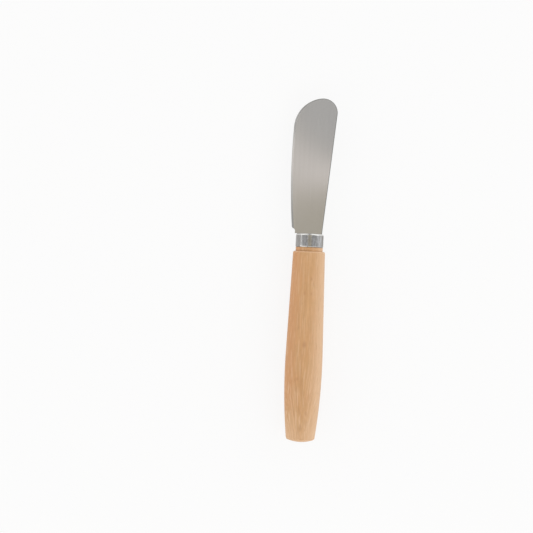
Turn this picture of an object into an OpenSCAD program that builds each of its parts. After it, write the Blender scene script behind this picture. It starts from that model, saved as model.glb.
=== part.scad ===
/* [Handle] */
// Length of the handle's body, from the butt to the shoulder
body_len = 92; // [70:0.1:120]
// Thickest diameter of the handle
belly_d = 18; // [16.5:0.1:24]
// Distance of the thickest place from the butt
belly_at = 36.1; // [25:0.1:50]
// Diameter that the sides run down to at the butt
butt_d = 13.4; // [10:0.1:15.5]
// Diameter that the sides run down to at the shoulder
shoulder_d = 15.4; // [14.8:0.1:16.4]
// Radius of the dome that ends the butt
dome_r = 18.5; // [12:0.5:40]
// Radius that rounds the rim of the butt
butt_round = 1.2; // [0.4:0.1:3]
// Radius that rounds the edge of the shoulder
shoulder_round = 0.8; // [0.2:0.1:1]
// Diameter of the neck between the shoulder and the ferrule
neck_d = 13.1; // [12.6:0.1:13.6]
// Length of the neck that shows below the ferrule
neck_len = 1.9; // [0.4:0.1:6]

/* [Ferrule] */
// Outer diameter of the ferrule
ferrule_d = 13.4; // [12.4:0.1:14.4]
// Length of the ferrule along the knife
ferrule_len = 6.6; // [4:0.1:12]
// Thickness of the ferrule's side and end
ferrule_wall = 0.8; // [0.6:0.1:1.5]
// Radius that rounds the rim next to the blade
rim_round = 0.8; // [0.4:0.1:2]
// Radius that rounds the rim next to the neck
lip_round = 0.5; // [0.2:0.1:0.7]

/* [Blade] */
// Length of the blade from the ferrule to its tip
blade_len = 65.5; // [55:0.1:90]
// Thickness of the blade
blade_t = 1.2; // [1.1:0.1:1.8]
// Thickness that the edge is ground down to
edge_t = 0.5; // [0.3:0.1:0.8]
// Width of the grind along the spreading edge
edge_grind = 0.9; // [0.4:0.1:2]
// Width of the softer grind round the nose and along the spine
spine_grind = 0.3; // [0.1:0.05:0.6]
// Distance of the spine from the axis where it meets the ferrule
root_spine = 5.8; // [4.5:0.1:7]
// Distance of the spreading side from the axis where it meets the ferrule
root_edge = 7.3; // [6:0.1:8]
// Angle that the spine leans away from the axis
spine_lean = 4.66; // [3:0.1:6]
// Furthest reach of the spreading edge from the axis
edge_reach = 10.55; // [9.8:0.05:11.5]
// Distance of that furthest reach from the ferrule
edge_reach_at = 35.4; // [28:0.1:40]
// Radius of the long curve of the spreading edge
edge_r = 320; // [250:10:500]
// Radius of the curve between the spreading edge and the nose
crown_r = 14.8; // [12:0.1:18]
// Radius of the nose beside the spine
nose_r = 6.9; // [5:0.1:8]
// Distance from the ferrule to the top of the heel's notch
heel_len = 3.4; // [3:0.1:6]
// Radius of both bends of the heel's notch
heel_round = 1.2; // [0.9:0.1:1.6]

/* [Tang] */
// Length of the tang below the blade
tang_len = 48; // [20:1:60]
// Width of the tang
tang_w = 5; // [3:0.1:6]
// Thickness of the tang, which is dressed a little thinner than the blade
tang_t = 1; // [0.6:0.1:1.1]
// Length of the taper at the end of the tang
tang_taper = 8; // [2:0.5:12]
// Width of the tang at its very end
tang_end_w = 2; // [1:0.1:3]
// Room between the corners of the tang and the wall of its hole
tang_room = 0.2; // [0.1:0.05:0.4]
// Depth of the hole past the end of the tang
hole_spare = 2; // [1:0.5:4]
// Full angle of the drilled point of the hole
drill_angle = 118; // [90:1:140]
// Clearance of a piece in the seat that holds it
seat_gap = 0.05; // [0:0.01:0.1]

/* [Hidden] */

// Steps in each arc of an outline
arc_steps = 20;
// Smoothness of the drilled hole
hole_fn = 96;
// Length that a cut runs past the face it opens
overrun = 1;

// Places along the knife, counted from the butt
neck_end = body_len + neck_len;
root_y = neck_end + ferrule_len;
knife_len = root_y + blade_len;

// The tenon fills the ferrule, and its hole takes the tang
tenon_d = ferrule_d - 2 * (ferrule_wall + seat_gap);
tenon_end = root_y - ferrule_wall - seat_gap;
hole_d = norm([tang_w, tang_t]) + 2 * tang_room;
hole_end = root_y - tang_len - hole_spare;

// A point at a distance and angle from a centre
function polar(centre, radius, angle) = centre + radius * [cos(angle), sin(angle)];

// Direction from one point to another
function bearing(from, to) = atan2(to.y - from.y, to.x - from.x);

// An arc without its first point, where the stretch before it ends
function arc(centre, radius, start, end) = [
    for (i = [1:arc_steps]) polar(centre, radius, start + (end - start) * i / arc_steps)
];

// Where two circles cross, on the left of the way from a to b, or on its right for side = -1
function crossing(centre_a, radius_a, centre_b, radius_b, side) =
    let (
        gap = norm(centre_b - centre_a),
        along = (centre_b - centre_a) / gap,
        reach = (gap * gap + radius_a * radius_a - radius_b * radius_b) / (2 * gap),
        rise = sqrt(radius_a * radius_a - reach * reach)
    )
    centre_a + reach * along + side * rise * [-along.y, along.x];

// The side of the handle is one long arc through the belly
belly_drop = (belly_d - butt_d) / 2;
side_r = (belly_at * belly_at + belly_drop * belly_drop) / (2 * belly_drop);
side_centre = [belly_d / 2 - side_r, belly_at];

// From the arc the side runs straight to the shoulder, touching the arc where it leaves it
shoulder_point = [shoulder_d / 2, body_len];
side_taper = bearing(side_centre, shoulder_point) - acos(side_r / norm(shoulder_point - side_centre));

// The rim of the butt touches the dome and the side
dome_centre = [0, dome_r];
rim_centre = crossing(dome_centre, dome_r - butt_round, side_centre, side_r - butt_round, 1);
dome_to_rim = bearing(dome_centre, rim_centre);
side_to_rim = bearing(side_centre, rim_centre);

// The rounded edge of the shoulder touches the straight side
shoulder_centre = shoulder_point - shoulder_round * [
    (1 - sin(side_taper)) / cos(side_taper),
    1
];

// Half of the handle's outline, radius against length
handle_outline = concat(
    [[0, 0]],
    arc(dome_centre, dome_r, -90, dome_to_rim),
    arc(rim_centre, butt_round, dome_to_rim, side_to_rim),
    arc(side_centre, side_r, side_to_rim, side_taper),
    [polar(shoulder_centre, shoulder_round, side_taper)],
    arc(shoulder_centre, shoulder_round, side_taper, 90),
    [
        [neck_d / 2, body_len],
        [neck_d / 2, neck_end],
        [tenon_d / 2, neck_end],
        [tenon_d / 2, tenon_end],
        [0, tenon_end]
    ]
);

// Half of the ferrule's outline: a cup with a rounded rim at each end
cup_r = ferrule_d / 2;
cavity_r = cup_r - ferrule_wall;
ferrule_outline = concat(
    [[cavity_r, neck_end], [cup_r - lip_round, neck_end]],
    arc([cup_r - lip_round, neck_end + lip_round], lip_round, -90, 0),
    [[cup_r, root_y - rim_round]],
    arc([cup_r - rim_round, root_y - rim_round], rim_round, 0, 90),
    [[0, root_y], [0, root_y - ferrule_wall], [cavity_r, root_y - ferrule_wall]]
);

// The nose touches the leaning spine
nose_y = knife_len - nose_r;
nose_centre = [
    root_spine + (nose_y - root_y) * tan(spine_lean) - nose_r / cos(spine_lean),
    nose_y
];

// The crown touches the nose and the long curve of the spreading edge
edge_centre = [edge_r - edge_reach, root_y + edge_reach_at];
crown_centre = crossing(nose_centre, crown_r - nose_r, edge_centre, edge_r - crown_r, -1);
nose_to_crown = bearing(crown_centre, nose_centre);
crown_to_edge = bearing(edge_centre, crown_centre);

// Distance of the spreading edge from the axis at a distance from the ferrule
function edge_x(distance) = edge_centre.x
    - sqrt(edge_r * edge_r - (distance - edge_reach_at) * (distance - edge_reach_at));

// Outline of the blade, drawn in from the edge by two widths that blend over the crown
function blade_outline(spine_inset, edge_inset) = concat(
    [
        [root_spine - spine_inset / cos(spine_lean), root_y],
        polar(nose_centre, nose_r - spine_inset, -spine_lean)
    ],
    arc(nose_centre, nose_r - spine_inset, -spine_lean, nose_to_crown),
    [
        for (i = [1:arc_steps])
            let (share = i / arc_steps)
            polar(
                crown_centre,
                crown_r - spine_inset - (edge_inset - spine_inset) * share,
                nose_to_crown + (crown_to_edge - nose_to_crown) * share
            )
    ],
    arc(
        edge_centre,
        edge_r - edge_inset,
        crown_to_edge,
        180 + asin(edge_reach_at / (edge_r - edge_inset))
    )
);

// The notch at the heel is an S of two equal bends
heel_x = edge_x(heel_len);
heel_turn = acos(1 - (-heel_x - root_edge) / (2 * heel_round));
notch_start = root_y + heel_len - 2 * heel_round * sin(heel_turn);
notch_outline = concat(
    [[-root_edge, root_y - overrun], [-root_edge, notch_start]],
    arc([-root_edge - heel_round, notch_start], heel_round, 0, heel_turn),
    arc([heel_x + heel_round, root_y + heel_len], heel_round, 180 + heel_turn, 180),
    [[heel_x - overrun, root_y + heel_len], [heel_x - overrun, root_y - overrun]]
);

tang_outline = [
    [-tang_w / 2, root_y + overrun],
    [-tang_w / 2, root_y - tang_len + tang_taper],
    [-tang_end_w / 2, root_y - tang_len],
    [tang_end_w / 2, root_y - tang_len],
    [tang_w / 2, root_y - tang_len + tang_taper],
    [tang_w / 2, root_y + overrun]
];

// The origin lies on the floor, below the middle of the knife's length and width
spine_reach = nose_centre.x + nose_r;
floor_centre = [(spine_reach - edge_reach) / 2, knife_len / 2, -belly_d / 2];

// Sets a piece that is drawn from the butt, along +Y, in the knife's own frame
module placed() {
    translate(-floor_centre) children();
}

// Turns a half outline round the axis of the knife
module turned(outline) {
    rotate([-90, 0, 0]) rotate_extrude($fn = hole_fn) polygon(outline);
}

// A plate of the blade's metal, centred on the axis
module plate(thickness) {
    translate([0, 0, -thickness / 2]) linear_extrude(thickness) children();
}

// The drilled hole, from the tenon's end down to its point
module tang_hole(past_mouth) {
    radius = hole_d / 2;
    translate([0, tenon_end + past_mouth, 0]) rotate([90, 0, 0]) {
        cylinder(h = tenon_end + past_mouth - hole_end, r = radius, $fn = hole_fn);
        translate([0, 0, tenon_end + past_mouth - hole_end])
            cylinder(h = radius / tan(drill_angle / 2), r1 = radius, r2 = 0, $fn = hole_fn);
    }
}

// Turned wooden handle, with a neck and a tenon for the ferrule and a hole for the tang
module handle() {
    color("burlywood") placed() difference() {
        turned(handle_outline);
        tang_hole(overrun);
    }
}

// Drawn metal cup over the tenon, with a slot that the tang passes through
module ferrule() {
    slot = [tang_w, ferrule_wall, tang_t] + seat_gap * [2, 0, 2] + overrun * [0, 2, 0];
    color("silver") placed() difference() {
        turned(ferrule_outline);
        translate([0, root_y - ferrule_wall / 2, 0]) cube(slot, center = true);
    }
}

// Tang of the blade, a flat bar with a tapered end
module tang() {
    plate(tang_t) polygon(tang_outline);
}

// Flat blade, ground thinner at its edges, with its tang in one piece
module blade() {
    color("lightgray") placed() {
        difference() {
            hull() {
                plate(edge_t) polygon(blade_outline(0, 0));
                plate(blade_t) polygon(blade_outline(spine_grind, edge_grind));
            }
            plate(blade_t + overrun) polygon(notch_outline);
        }
        tang();
    }
}

// Set adhesive that fills the hole round the tang
module tang_adhesive() {
    color("khaki") placed() difference() {
        tang_hole(0);
        tang();
    }
}

handle();
ferrule();
blade();
tang_adhesive();
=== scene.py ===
import math

import bpy
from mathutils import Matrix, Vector


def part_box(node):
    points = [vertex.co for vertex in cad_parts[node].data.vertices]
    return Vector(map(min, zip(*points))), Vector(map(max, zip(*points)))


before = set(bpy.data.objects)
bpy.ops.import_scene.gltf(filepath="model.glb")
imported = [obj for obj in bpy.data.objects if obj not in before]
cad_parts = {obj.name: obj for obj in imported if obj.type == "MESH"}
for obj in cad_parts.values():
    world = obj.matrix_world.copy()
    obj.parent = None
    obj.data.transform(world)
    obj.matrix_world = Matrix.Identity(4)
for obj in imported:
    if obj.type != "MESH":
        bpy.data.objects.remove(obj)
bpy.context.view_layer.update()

MM = 0.001

# Places on the knife, in metres, read from the parts in model.glb
handle_low, handle_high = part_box("handle")
ferrule_low, ferrule_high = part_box("ferrule")
axis_x = (handle_low.x + handle_high.x) / 2
axis_z = (handle_low.z + handle_high.z) / 2
top_z = handle_high.z
butt_y = handle_low.y
joint_y = ferrule_low.y
root_y = ferrule_high.y

# Length of the neck that shows between the handle's shoulder and the ferrule
NECK_LEN = 1.9 * MM
neck_foot_y = joint_y - NECK_LEN


def tone(red, green, blue):
    """A colour written as it looks on a screen, 0 to 255, as the linear values that Blender mixes."""
    shares = (channel / 255 for channel in (red, green, blue))
    return tuple(s / 12.92 if s <= 0.04045 else ((s + 0.055) / 1.055) ** 2.4 for s in shares) + (1,)


# Helpers that build node trees

def blank_tree(owner):
    """The emptied node tree of a material or a world."""
    owner.use_nodes = True
    owner.node_tree.nodes.clear()
    return owner.node_tree


def add(tree, kind, inputs=None, **settings):
    """A node with its settings. An input is a plain value or another node's output."""
    node = tree.nodes.new(kind)
    for name, value in settings.items():
        setattr(node, name, value)
    for key, value in (inputs or {}).items():
        if isinstance(value, bpy.types.NodeSocket):
            tree.links.new(value, node.inputs[key])
        else:
            node.inputs[key].default_value = value
    return node


def calc(tree, operation, *values):
    """The output of a Math node."""
    return add(tree, "ShaderNodeMath", dict(enumerate(values)), operation=operation).outputs[0]


def times(tree, first, second):
    """One value times another."""
    return calc(tree, "MULTIPLY", first, second)


def linear(tree, value, change, start):
    """A start, plus a value times its change."""
    return calc(tree, "MULTIPLY_ADD", value, change, start)


def split(tree, vector):
    """The x, y and z of a vector."""
    return add(tree, "ShaderNodeSeparateXYZ", {0: vector}).outputs


def distance(tree, first, second):
    """The distance between two points."""
    node = add(tree, "ShaderNodeVectorMath", {0: first, 1: second}, operation="DISTANCE")
    return node.outputs["Value"]


def blend(tree, share, first, second, mode="MIX"):
    """The output of a Mix node between two colours. Its colour sockets are numbered 6, 7 and 2."""
    inputs = {0: share, 6: first, 7: second}
    node = add(tree, "ShaderNodeMix", inputs, data_type="RGBA", blend_type=mode)
    return node.outputs[2]


def spread(tree, value, low, high, to_low=0.0, to_high=1.0):
    """A value that goes smoothly from to_low to to_high, as another goes from low to high."""
    inputs = {"Value": value, "From Min": low, "From Max": high, "To Min": to_low, "To Max": to_high}
    node = add(tree, "ShaderNodeMapRange", inputs, interpolation_type="SMOOTHSTEP")
    return node.outputs["Result"]


def near(tree, value, centre, reach):
    """One at the centre, falling smoothly to zero at the reach on both sides."""
    away = calc(tree, "ABSOLUTE", calc(tree, "SUBTRACT", value, centre))
    return spread(tree, away, reach, 0.0)


def noise(tree, place, across, along, detail, seed):
    """Noise whose patches measure across by along, stretched along the knife."""
    inputs = {
        "Vector": place,
        "Location": (seed, seed, seed),
        "Scale": (1 / across, 1 / along, 1 / across),
    }
    seeded = add(tree, "ShaderNodeMapping", inputs).outputs[0]
    inputs = {"Vector": seeded, "Scale": 1.0, "Detail": detail}
    return add(tree, "ShaderNodeTexNoise", inputs).outputs[0]


def bump(tree, height, strength, relief, below=None):
    """The normal of a surface that a height of one raises by the relief, over another normal."""
    inputs = {"Strength": strength, "Distance": relief, "Height": height}
    if below is not None:
        inputs["Normal"] = below
    return add(tree, "ShaderNodeBump", inputs).outputs[0]


def new_material(name):
    """An empty material, its node tree, and the place on its object that is being shaded."""
    material = bpy.data.materials.new(name)
    tree = blank_tree(material)
    place = add(tree, "ShaderNodeTexCoord").outputs["Object"]
    return material, tree, place


def principled(tree, **inputs):
    """Makes a Principled shader the surface. Its inputs' names are written with underscores."""
    named = {name.replace("_", " "): value for name, value in inputs.items()}
    shader = add(tree, "ShaderNodeBsdfPrincipled", named)
    add(tree, "ShaderNodeOutputMaterial", {"Surface": shader.outputs[0]})


# In the values below, a noise pattern is its width across the knife, its length along it,
# its detail and its seed. An onset is the two values between which something sets in:
# noise values, places on the knife, or distances from its axis with +X towards the spine.
# A share is how much of a colour shows. Two shares are those before and after an onset.
# Two values of shade, roughness or vessels are the change that a pattern or face makes, and the
# value without it.

SOFT_ONSET = (0.3, 0.7)


# Beech of the handle

EARLY_WOOD = tone(214, 167, 118)
LATE_WOOD = tone(196, 147, 101)
PALE_WOOD = tone(230, 193, 156)
WARM_WOOD = tone(204, 146, 96)
OLIVE_WOOD = tone(198, 156, 106)
FLECK = tone(168, 118, 78)
MARK = tone(164, 108, 68)
# colour of the painted shade in the creases beside the neck
CREASE_SHADE = tone(120, 80, 50)

RING_WAVES = (14 * MM, 60 * MM, 1.0, 3.0)
STREAKS = (1.1 * MM, 50 * MM, 3.0, 5.0)
FIBRES = (0.5 * MM, 14 * MM, 3.0, 7.0)
CLOUDS = (5 * MM, 16 * MM, 2.0, 9.0)
FLECKS = (0.4 * MM, 5 * MM, 1.0, 11.0)
MOTTLES = (0.8 * MM, 1.8 * MM, 2.0, 13.0)
STAINS = (2.4 * MM, 6 * MM, 2.0, 15.0)
VESSELS = (0.6 * MM, 11 * MM, 2.0, 17.0)

STAIN_ONSET = (0.35, 0.7)
VESSEL_ONSET = (0.45, 0.72)
FLECK_ONSET = (0.64, 0.76)

STREAK_SHARE = 0.34
CLOUD_SHARE = 0.3
STAIN_SHARE = 0.3
FLECK_SHARE = 0.3
MARK_SHARE = 0.34
WORN_HIGHLIGHT_SHARE = 0.55
CREASE_SHADE_SHARE = 0.3

# Growth rings lie round a pith outside the handle. The dark wood of each ring sets in slowly
# and ends suddenly, at these shares of the ring's width.
PITH = (-10 * MM, 0, -40 * MM)
RING_WIDTH = 1.1 * MM
RING_WAVER = 3.2 * MM
DARK_ONSET = (0.35, 0.9)
DARK_END = (1.0, 0.93)

# Rings and vessels are clear near the butt, and fainter further on
GRAIN_ONSET = (butt_y + 60 * MM, butt_y + 8 * MM)
GRAIN_SHARES = (0.34, 0.85)

# Rings are faint where the surface cuts them flat, at this distance from the axis
FLAT_CUT = 1.4 * MM
FLAT_CUT_REACH = 3 * MM
FLAT_CUT_SHARES = (0.3, 1.0)

# On the upper face vessels are clearer, and the grain lines draw together towards the butt
UPPER_ONSET = (axis_z, axis_z + 5 * MM)
UPPER_VESSELS = (0.5, 0.5)
DRAWN_FROM_Y = butt_y + 42 * MM
DRAWN_REACH = 30 * MM
DRAWN_POWER = 2.0

# The side towards the spine is paler, partly the wood's own tone and partly a painted sheen.
# The other is warmer, but for the butt.
SHEEN_SIDE_ONSET = (1 * MM, 8 * MM)
SHEEN_SIDE_SHARES = (0.0, 0.72)
WARM_SIDE_ONSET = (-2.5 * MM, -7 * MM)
WARM_SIDE_SHARES = (0.0, 0.75)
WARM_ONSET = (butt_y + 6 * MM, butt_y + 30 * MM)

# The butt's end is paler, most of all towards the sides
PALE_END_ONSET = (butt_y + 18 * MM, butt_y + 1 * MM)
PALE_END_SIDES = (0.0, 4 * MM)
PALE_END_SHARES = (0.2, 0.45)

# Small brown marks in the wood: place from the axis and from the butt, and width
MARKS = [
    (-0.4 * MM, 47.2 * MM, 1.4 * MM),
    (2.1 * MM, 14.1 * MM, 1.2 * MM),
    (-2.9 * MM, 30.7 * MM, 0.8 * MM),
    (-1.3 * MM, 71.7 * MM, 1.0 * MM),
    (1.9 * MM, 71.7 * MM, 0.9 * MM),
    (1.6 * MM, 78.7 * MM, 1.0 * MM),
    (-0.3 * MM, 7.2 * MM, 1.7 * MM),
]

# A mark's width, over its size across the grain, along it and in depth
MARK_SHAPE = (1, 0.55, 0.4)

# The shoulder's edge is worn pale, with a painted highlight. Shade is painted in the creases
# at both ends of the neck, fainter at one side.
WORN_HIGHLIGHT_Y = neck_foot_y - 0.35 * MM
WORN_HIGHLIGHT_REACH = 0.6 * MM
FOOT_SHADE_Y = neck_foot_y + 0.15 * MM
FOOT_SHADE_REACH = 0.35 * MM
FOOT_SHADE_ONSET = (0.6 * MM, 2 * MM)
FOOT_SHADE_SHARES = (1.0, 0.35)
JOINT_SHADE_REACH = 0.4 * MM

FIBRE_SHADE = (0.16, 0.94)
MOTTLE_SHADE = (0.1, 0.945)
FIBRE_ROUGHNESS = (0.16, 0.44)
FLECK_HEIGHT = -0.5
WOOD_BUMP = 0.35
WOOD_RELIEF = 0.05 * MM


def beech():
    """Sanded beech with growth rings, streaks, short dark flecks and a few brown marks."""
    material, tree, place = new_material("beech_wood")
    x, y, z = split(tree, place)
    upper = spread(tree, z, *UPPER_ONSET)
    clear = spread(tree, y, *GRAIN_ONSET, *GRAIN_SHARES)

    # Growth rings
    waver = noise(tree, place, *RING_WAVES)
    section = add(tree, "ShaderNodeCombineXYZ", {"X": x, "Z": z}).outputs[0]
    from_pith = linear(tree, waver, RING_WAVER, distance(tree, section, PITH))
    turn = calc(tree, "FRACT", calc(tree, "DIVIDE", from_pith, RING_WIDTH))
    ring = times(tree, spread(tree, turn, *DARK_ONSET), spread(tree, turn, *DARK_END))
    off_cut = calc(tree, "ABSOLUTE", calc(tree, "SUBTRACT", x, FLAT_CUT))
    ring = times(tree, ring, spread(tree, off_cut, 0.0, FLAT_CUT_REACH, *FLAT_CUT_SHARES))

    # Place in the grain, which is drawn together on the upper face
    past = calc(tree, "MAXIMUM", calc(tree, "SUBTRACT", DRAWN_FROM_Y, y), 0.0)
    drawn = calc(tree, "POWER", times(tree, past, 1 / DRAWN_REACH), DRAWN_POWER)
    drawn = times(tree, drawn, upper)
    drawn_x = times(tree, x, calc(tree, "ADD", drawn, 1.0))
    grain = add(tree, "ShaderNodeCombineXYZ", {"X": drawn_x, "Y": y, "Z": z}).outputs[0]

    streak = spread(tree, noise(tree, grain, *STREAKS), *SOFT_ONSET)
    cloud = spread(tree, noise(tree, place, *CLOUDS), *SOFT_ONSET)
    stain = spread(tree, noise(tree, place, *STAINS), *STAIN_ONSET)
    vessel = spread(tree, noise(tree, grain, *VESSELS), *VESSEL_ONSET)
    fleck = spread(tree, noise(tree, grain, *FLECKS), *FLECK_ONSET)
    fibre = noise(tree, grain, *FIBRES)
    mottle = noise(tree, place, *MOTTLES)

    colour = blend(tree, times(tree, ring, clear), EARLY_WOOD, LATE_WOOD)
    colour = blend(tree, times(tree, streak, STREAK_SHARE), colour, LATE_WOOD)
    colour = blend(tree, times(tree, cloud, CLOUD_SHARE), colour, WARM_WOOD)
    colour = blend(tree, times(tree, stain, STAIN_SHARE), colour, OLIVE_WOOD)

    # Paler side, partly a painted sheen, warmer side, and the pale end of the butt
    pale_sheen = spread(tree, x, *SHEEN_SIDE_ONSET, *SHEEN_SIDE_SHARES)
    colour = blend(tree, pale_sheen, colour, PALE_WOOD)
    warm = spread(tree, x, *WARM_SIDE_ONSET, *WARM_SIDE_SHARES)
    warm = times(tree, warm, spread(tree, y, *WARM_ONSET))
    colour = blend(tree, warm, colour, WARM_WOOD)
    end = spread(tree, calc(tree, "ABSOLUTE", x), *PALE_END_SIDES, *PALE_END_SHARES)
    end = times(tree, end, spread(tree, y, *PALE_END_ONSET))
    colour = blend(tree, end, colour, PALE_WOOD)

    vessel = times(tree, vessel, linear(tree, upper, *UPPER_VESSELS))
    colour = blend(tree, times(tree, vessel, clear), colour, PALE_WOOD)
    shade = times(tree, linear(tree, fibre, *FIBRE_SHADE), linear(tree, mottle, *MOTTLE_SHADE))
    colour = blend(tree, 1.0, colour, shade, "MULTIPLY")
    colour = blend(tree, times(tree, fleck, FLECK_SHARE), colour, FLECK)

    # Brown marks on the upper face
    for mark_x, mark_y, width in MARKS:
        centre = (axis_x + mark_x, butt_y + mark_y, top_z)
        scale = [size / width for size in MARK_SHAPE]
        here = add(tree, "ShaderNodeMapping", {"Vector": place, "Scale": scale}).outputs[0]
        away = distance(tree, here, [c * s for c, s in zip(centre, scale)])
        colour = blend(tree, spread(tree, away, 1.0, 0.0, 0.0, MARK_SHARE), colour, MARK)

    # Wear with a painted highlight, and painted shade in the creases beside the neck
    worn_highlight = near(tree, y, WORN_HIGHLIGHT_Y, WORN_HIGHLIGHT_REACH)
    colour = blend(tree, times(tree, worn_highlight, WORN_HIGHLIGHT_SHARE), colour, PALE_WOOD)
    foot = near(tree, y, FOOT_SHADE_Y, FOOT_SHADE_REACH)
    foot = times(tree, foot, spread(tree, x, *FOOT_SHADE_ONSET, *FOOT_SHADE_SHARES))
    painted_shade = calc(tree, "MAXIMUM", foot, near(tree, y, joint_y, JOINT_SHADE_REACH))
    colour = blend(tree, times(tree, painted_shade, CREASE_SHADE_SHARE), colour, CREASE_SHADE)

    rough = linear(tree, fibre, *FIBRE_ROUGHNESS)
    normal = bump(tree, linear(tree, fleck, FLECK_HEIGHT, fibre), WOOD_BUMP, WOOD_RELIEF)
    principled(tree, Base_Color=colour, Roughness=rough, Normal=normal)
    return material


# Steel of the blade

STEEL = tone(208, 206, 203)
STEEL_DARK = tone(206, 204, 201)
GROUND = tone(188, 187, 184)
# colour of the painted highlight on the grind
GRIND_HIGHLIGHT = tone(209, 208, 205)
SHEARED = tone(132, 131, 128)

BRUSHING = (0.1 * MM, 26 * MM, 3.0, 2.0)
STEEL_STREAKS = (0.9 * MM, 90 * MM, 2.0, 4.0)
SMUDGES = (6 * MM, 14 * MM, 3.0, 6.0)

# How level a surface is, from 1 for the flats down to 0 for the side faces.
# The grind along the spreading edge lies between them.
GROUND_ONSET = (0.99, 0.95)
SHEARED_ONSET = (0.925, 0.86)
BOWED_ONSET = (0.9, 0.93)

# Where a highlight is painted on the grind along the spreading edge
GRIND_HIGHLIGHT_ONSET = (root_y + 8 * MM, root_y + 20 * MM)
GRIND_HIGHLIGHT_END = (root_y + 52 * MM, root_y + 44 * MM)
GRIND_HIGHLIGHT_SIDE = (2 * MM, -2 * MM)

# Painted shade on the blade where it meets the ferrule
ROOT_SHADE_REACH = 0.5 * MM
ROOT_SHADE_SHARE = 0.15

# The blade is shaded as bowed along its length, to this radius, and as twisted. Its slope from side
# to side changes along it at a rate of TWIST times the distance past TWIST_FOOT from the ferrule.
BOW_RADIUS = 350 * MM
TWIST = -106
TWIST_FOOT = 24 * MM

BRUSHING_ROUGHNESS = (0.06, 0.2)
SMUDGE_ROUGHNESS = 0.05
BRUSHING_BUMP = 0.09
BRUSHING_RELIEF = 0.02 * MM
ANISOTROPY = 0.8


def satin_steel():
    """Satin stainless steel, finely brushed along the blade."""
    material, tree, place = new_material("satin_steel_blade")
    x, y, _ = split(tree, place)
    brushing = noise(tree, place, *BRUSHING)
    streak = noise(tree, place, *STEEL_STREAKS)
    smudge = noise(tree, place, *SMUDGES)
    colour = blend(tree, spread(tree, streak, *SOFT_ONSET), STEEL, STEEL_DARK)

    # The ground rim is duller than the flats, but for a stretch with a painted highlight, and the
    # side faces are duller still
    grind_highlight = times(tree, spread(tree, y, *GRIND_HIGHLIGHT_ONSET), spread(tree, y, *GRIND_HIGHLIGHT_END))
    grind_highlight = times(tree, grind_highlight, spread(tree, x, *GRIND_HIGHLIGHT_SIDE))
    ground = blend(tree, grind_highlight, GROUND, GRIND_HIGHLIGHT)
    normal = add(tree, "ShaderNodeNewGeometry").outputs["Normal"]
    level = calc(tree, "ABSOLUTE", split(tree, normal)["Z"])
    colour = blend(tree, spread(tree, level, *GROUND_ONSET), colour, ground)
    colour = blend(tree, spread(tree, level, *SHEARED_ONSET), colour, SHEARED)

    # Shade is painted on the blade where it meets the ferrule
    painted_shade = near(tree, y, root_y, ROOT_SHADE_REACH)
    colour = blend(tree, times(tree, painted_shade, ROOT_SHADE_SHARE), colour, SHEARED)

    rough = linear(tree, brushing, *BRUSHING_ROUGHNESS)
    rough = linear(tree, smudge, SMUDGE_ROUGHNESS, rough)

    # Bow and twist of the flats and of the grind along the spreading edge
    along = calc(tree, "SUBTRACT", y, root_y)
    bow = times(tree, times(tree, along, along), -0.5 / BOW_RADIUS)
    lever = times(tree, along, linear(tree, along, 0.5, -TWIST_FOOT))
    twist = times(tree, times(tree, x, TWIST), lever)
    height = calc(tree, "ADD", bow, twist)
    bowed = bump(tree, height, spread(tree, level, *BOWED_ONSET), 1.0)
    brushed = bump(tree, brushing, BRUSHING_BUMP, BRUSHING_RELIEF, bowed)

    # Brushing lines along the knife spread the reflections across it
    inputs = {0: (0, 1, 0), 1: normal}
    across = add(tree, "ShaderNodeVectorMath", inputs, operation="CROSS_PRODUCT").outputs["Vector"]
    principled(
        tree,
        Base_Color=colour,
        Metallic=1.0,
        Roughness=rough,
        Anisotropic=ANISOTROPY,
        Normal=brushed,
        Tangent=across,
    )
    return material


# Bright metal of the ferrule

BRIGHT = tone(192, 192, 193)
BRIGHT_DULL = tone(158, 157, 154)
# colour of the painted dark reflections
DARK_REFLECTION = tone(124, 118, 112)
# colour of the painted highlights on the rims
RIM_HIGHLIGHT = tone(226, 225, 222)

PATCHES = (0.7 * MM, 2.2 * MM, 3.0, 1.0)
DRAWN_LINES = (9 * MM, 0.14 * MM, 2.0, 3.0)
DENTS = (2.4 * MM, 2.0 * MM, 1.0, 8.0)
PATCH_ONSET = (0.35, 0.65)
PATCH_SHARE = 0.75

# Painted dark reflections on the side away from the spine, and on the last stretch of both sides
DARK_SIDE_ONSET = (-4.1 * MM, -4.7 * MM)
DARK_SIDE_SHARES = (0.0, 0.5)
LAST_STRETCH_ONSET = (5.4 * MM, 6.1 * MM)
LAST_STRETCH_SIDES = (-3 * MM, 3 * MM)
LAST_STRETCH_SHARES = (0.6, 0.85)

# Painted dark reflection in the middle of the end's rim, on the upper face alone
SPOT_X = -0.2 * MM
SPOT_REACH = 1.8 * MM
SPOT_HEIGHT_ONSET = (axis_z + 5 * MM, axis_z + 5.6 * MM)
SPOT_ONSET = (root_y - 0.9 * MM, root_y - 0.5 * MM)
SPOT_SHARES = (0.0, 0.45)

# A highlight is painted on the end's rim, in its middle further down and less
RIM_ONSET = (root_y - 1.1 * MM, root_y - 0.4 * MM)
RIM_DROP = 1.1 * MM
RIM_MIDDLE = (0.3, 1.0)
RIM_SHARES = (0.9, 0.1)

# A highlight is painted on the lip at the neck too, most of all on the side away from the spine
LIP_ONSET = (joint_y + 1.1 * MM, joint_y + 0.5 * MM)
LIP_SIDES = (0.5 * MM, -3 * MM)
LIP_SHARES = (0.15, 0.9)
LIP_END = (-5 * MM, -4 * MM)

PATCH_ROUGHNESS = (0.08, 0.1)
DENT_BUMP = 1.0
DENT_RELIEF = 0.16 * MM
LINE_BUMP = 0.2
LINE_RELIEF = 0.01 * MM


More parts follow.
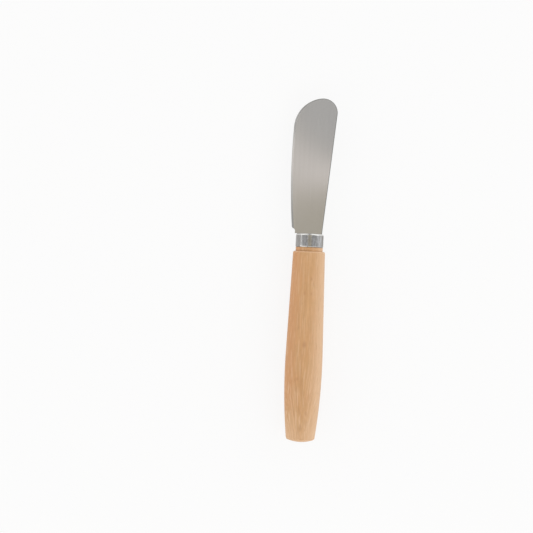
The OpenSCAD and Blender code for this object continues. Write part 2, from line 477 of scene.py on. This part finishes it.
def bright_metal():
    """Polished ferrule metal with faint drawing lines and dull patches."""
    material, tree, place = new_material("bright_ferrule_metal")
    x, y, z = split(tree, place)
    patch = spread(tree, noise(tree, place, *PATCHES), *PATCH_ONSET)
    lines = noise(tree, place, *DRAWN_LINES)
    dents = noise(tree, place, *DENTS)
    colour = blend(tree, times(tree, patch, PATCH_SHARE), BRIGHT, BRIGHT_DULL)

    # Painted dark reflections on the sides and in the spot
    side = spread(tree, x, *DARK_SIDE_ONSET, *DARK_SIDE_SHARES)
    last = spread(tree, calc(tree, "ABSOLUTE", x), *LAST_STRETCH_ONSET)
    last = times(tree, last, spread(tree, x, *LAST_STRETCH_SIDES, *LAST_STRETCH_SHARES))
    middle = near(tree, x, SPOT_X, SPOT_REACH)
    middle = times(tree, middle, spread(tree, z, *SPOT_HEIGHT_ONSET))
    spot = times(tree, middle, spread(tree, y, *SPOT_ONSET, *SPOT_SHARES))
    dark_reflection = calc(tree, "MAXIMUM", calc(tree, "MAXIMUM", side, last), spot)
    colour = blend(tree, dark_reflection, colour, DARK_REFLECTION)

    # Painted highlights on the rims
    raised = linear(tree, middle, RIM_DROP, y)
    rim = spread(tree, raised, *RIM_ONSET)
    rim = times(tree, rim, spread(tree, middle, *RIM_MIDDLE, *RIM_SHARES))
    lip = spread(tree, y, *LIP_ONSET)
    lip = times(tree, lip, spread(tree, x, *LIP_SIDES, *LIP_SHARES))
    lip = times(tree, lip, spread(tree, x, *LIP_END))
    colour = blend(tree, calc(tree, "MAXIMUM", rim, lip), colour, RIM_HIGHLIGHT)

    rough = linear(tree, patch, *PATCH_ROUGHNESS)
    dented = bump(tree, dents, DENT_BUMP, DENT_RELIEF)
    lined = bump(tree, lines, LINE_BUMP, LINE_RELIEF, dented)
    principled(tree, Base_Color=colour, Metallic=1.0, Roughness=rough, Normal=lined)
    return material


# Adhesive round the tang, inside the handle

RESIN = tone(200, 176, 112)
RESIN_PALE = tone(222, 206, 160)

RESIN_CLOUDS = (2 * MM, 3 * MM, 2.0, 4.0)
BUBBLES = (0.4 * MM, 0.4 * MM, 0.0, 6.0)
BUBBLE_ONSET = (0.7, 0.8)
CLOUD_ROUGHNESS = (0.1, 0.25)
BUBBLE_BUMP = 0.5
BUBBLE_RELIEF = 0.1 * MM


def adhesive():
    """Set epoxy with small bubbles."""
    material, tree, place = new_material("set_adhesive")
    cloud = spread(tree, noise(tree, place, *RESIN_CLOUDS), *SOFT_ONSET)
    bubble = spread(tree, noise(tree, place, *BUBBLES), *BUBBLE_ONSET)
    colour = blend(tree, cloud, RESIN, RESIN_PALE)
    rough = linear(tree, cloud, *CLOUD_ROUGHNESS)
    normal = bump(tree, bubble, BUBBLE_BUMP, BUBBLE_RELIEF)
    principled(tree, Base_Color=colour, Roughness=rough, Normal=normal)
    return material


# Shading of the solids: merged borders, smooth faces, and sharp edges past an angle

MERGE_DISTANCE = 0.001 * MM
TURNED_SHARP_DEGREES = 35
BLADE_SHARP_DEGREES = 12


def smooth_group(name, sharp_degrees):
    """A geometry node group that merges split borders and shades smooth up to an angle."""
    group = bpy.data.node_groups.new(name, "GeometryNodeTree")
    for side in ("INPUT", "OUTPUT"):
        group.interface.new_socket("Geometry", in_out=side, socket_type="NodeSocketGeometry")
    entry = add(group, "NodeGroupInput").outputs[0]
    inputs = {"Geometry": entry, "Distance": MERGE_DISTANCE}
    merged = add(group, "GeometryNodeMergeByDistance", inputs).outputs[0]
    inputs = {"Geometry": merged, "Name": "custom_normal"}
    bare = add(group, "GeometryNodeRemoveAttribute", inputs).outputs[0]
    inputs = {"Geometry": bare, "Shade Smooth": True}
    soft = add(group, "GeometryNodeSetShadeSmooth", inputs).outputs[0]
    angle = add(group, "GeometryNodeInputMeshEdgeAngle").outputs["Unsigned Angle"]
    inputs = {0: angle, 1: math.radians(sharp_degrees)}
    sharp = add(group, "FunctionNodeCompare", inputs, operation="GREATER_THAN").outputs[0]
    inputs = {"Geometry": soft, "Selection": sharp, "Shade Smooth": False}
    edged = add(group, "GeometryNodeSetShadeSmooth", inputs, domain="EDGE").outputs[0]
    add(group, "NodeGroupOutput", {0: edged})
    return group


def dress(node_name, material, sharp_degrees):
    """Gives a part of model.glb its material and smooth shading."""
    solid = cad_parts[node_name]
    for held in solid.material_slots:
        held.material = material
    smoother = solid.modifiers.new("smooth_shading", "NODES")
    smoother.node_group = smooth_group(node_name + "_shading", sharp_degrees)


# Floor

WHITE = (1, 1, 1, 1)
FLOOR_SIZE = 8.0
FLOOR_GREY = 0.9

# The glow's share in the floor's own look, at these distances from the knife's middle and beyond.
# The rest is paint, which keeps the shadow.
GLOW_ONSET = (0.3, 1.2)
GLOW_SHARES = (0.85, 1.0)


def make_floor():
    """A plain white floor that keeps a soft shadow."""
    bpy.ops.mesh.primitive_plane_add(size=FLOOR_SIZE, location=(0, 0, 0))
    floor = bpy.context.object
    floor.name = "floor"
    material, tree, place = new_material("white_floor")
    path = add(tree, "ShaderNodeLightPath").outputs
    seen = calc(tree, "MAXIMUM", path["Is Camera Ray"], path["Is Glossy Ray"])
    seen = calc(tree, "MAXIMUM", seen, path["Is Transmission Ray"])
    away = distance(tree, place, (0, 0, 0))
    share = times(tree, seen, spread(tree, away, *GLOW_ONSET, *GLOW_SHARES))
    grey = (FLOOR_GREY, FLOOR_GREY, FLOOR_GREY, 1)
    paint = add(tree, "ShaderNodeBsdfDiffuse", {"Color": grey}).outputs[0]
    glow = add(tree, "ShaderNodeEmission", {"Color": WHITE, "Strength": 1.0}).outputs[0]
    mixed = add(tree, "ShaderNodeMixShader", {0: share, 1: paint, 2: glow}).outputs[0]
    add(tree, "ShaderNodeOutputMaterial", {"Surface": mixed})
    floor.data.materials.append(material)


# Light

# Lamps: azimuth and elevation in degrees, width and height in metres, and radiance.
# Azimuth 0 stands towards the tip, and 90 towards the spine.
LAMP_DISTANCE = 1.2
LAMPS = {
    "softbox_tip_right": (38, 21, 1.75, 0.74, 0.7),
    "softbox_tip_left": (-38, 21, 1.45, 0.63, 0.7),
    "softbox_butt_right": (147, 42, 1.45, 0.88, 0.9),
    "softbox_butt_left": (-135, 25, 1.0, 0.52, 0.9),
    "strip_left": (-90, 13, 1.2, 0.2, 0.6),
}

# Greys of the dome, at how far up its directions point: 0 is the horizon, and 1 straight up
DOME = ((0.0, 1.0), (0.1, 0.96), (0.2, 0.84), (0.5, 0.68), (0.7, 0.57))

# Round the very top the dome is warmer, and a band of it towards the tip is brighter
OVERHEAD = (0.57, 0.525, 0.43, 1)
OVERHEAD_ONSET = (0.93, 0.99)
BAND = (1.04, 0.98, 0.96, 1)
BAND_ONSET = (0.14, 0.2)
BAND_END = (0.31, 0.21)


def softbox(name, azimuth, elevation, width, height, radiance):
    """An area lamp that faces the knife."""
    data = bpy.data.lights.new(name, "AREA")
    data.shape = "RECTANGLE"
    data.size = width
    data.size_y = height
    data.energy = radiance * math.pi * width * height
    lamp = bpy.data.objects.new(name, data)
    around = math.radians(azimuth)
    up = math.radians(elevation)
    way = Vector((math.sin(around) * math.cos(up), math.cos(around) * math.cos(up), math.sin(up)))
    lamp.location = way * LAMP_DISTANCE
    lamp.rotation_mode = "QUATERNION"
    lamp.rotation_quaternion = (-way).to_track_quat("-Z", "Y")
    bpy.context.scene.collection.objects.link(lamp)


def studio_world():
    """A pale dome, white at the horizon and greyer overhead, with a brighter band."""
    world = bpy.data.worlds.new("studio")
    tree = blank_tree(world)
    way = add(tree, "ShaderNodeTexCoord").outputs["Generated"]
    _, y, z = split(tree, way)

    # A new ramp has two stops, which become the first and the last
    ramp = add(tree, "ShaderNodeValToRGB", {"Fac": z})
    stops = ramp.color_ramp.elements
    stops[1].position = DOME[-1][0]
    for rise, _ in DOME[1:-1]:
        stops.new(rise)
    for stop, (_, grey) in zip(stops, DOME):
        stop.color = (grey, grey, grey, 1)

    colour = blend(tree, spread(tree, z, *OVERHEAD_ONSET), ramp.outputs[0], OVERHEAD)
    band = times(tree, spread(tree, y, *BAND_ONSET), spread(tree, y, *BAND_END))
    colour = blend(tree, band, colour, BAND)
    shade = add(tree, "ShaderNodeBackground", {"Color": colour, "Strength": 1.0}).outputs[0]
    add(tree, "ShaderNodeOutputWorld", {"Surface": shade})
    bpy.context.scene.world = world


# Camera

# The picture's size in pixels, the width of the knife's level that it shows, the place of the
# knife's origin in it, and how far the knife leans in it
PHOTO_PIXELS = 533
PHOTO_WIDTH = 257.2 * MM
ORIGIN_COLUMN = 308.2
ORIGIN_ROW = 270.0
LEAN = math.radians(2.77)

CAMERA_HEIGHT = 1.0
CLIP_START = 0.05
CLIP_END = 50


def aim_camera():
    """A camera straight above the knife, turned so that the knife leans as in the photograph."""
    data = bpy.data.cameras.new("photo_camera")
    data.lens = data.sensor_width * CAMERA_HEIGHT / PHOTO_WIDTH
    data.clip_start = CLIP_START
    data.clip_end = CLIP_END
    camera = bpy.data.objects.new("photo_camera", data)
    right = Vector((math.cos(LEAN), math.sin(LEAN), 0))
    up = Vector((-math.sin(LEAN), math.cos(LEAN), 0))
    pixel = PHOTO_WIDTH / PHOTO_PIXELS
    middle = PHOTO_PIXELS / 2
    camera.location = pixel * (right * (middle - ORIGIN_COLUMN) + up * (ORIGIN_ROW - middle))
    camera.location.z = axis_z + CAMERA_HEIGHT
    camera.rotation_euler = (0, 0, LEAN)
    bpy.context.scene.collection.objects.link(camera)
    bpy.context.scene.camera = camera


dress("handle", beech(), TURNED_SHARP_DEGREES)
dress("ferrule", bright_metal(), TURNED_SHARP_DEGREES)
dress("blade", satin_steel(), BLADE_SHARP_DEGREES)
dress("tang_adhesive", adhesive(), TURNED_SHARP_DEGREES)
make_floor()
studio_world()
for lamp_name, values in LAMPS.items():
    softbox(lamp_name, *values)
aim_camera()
bpy.context.scene.view_settings.view_transform = "Standard"
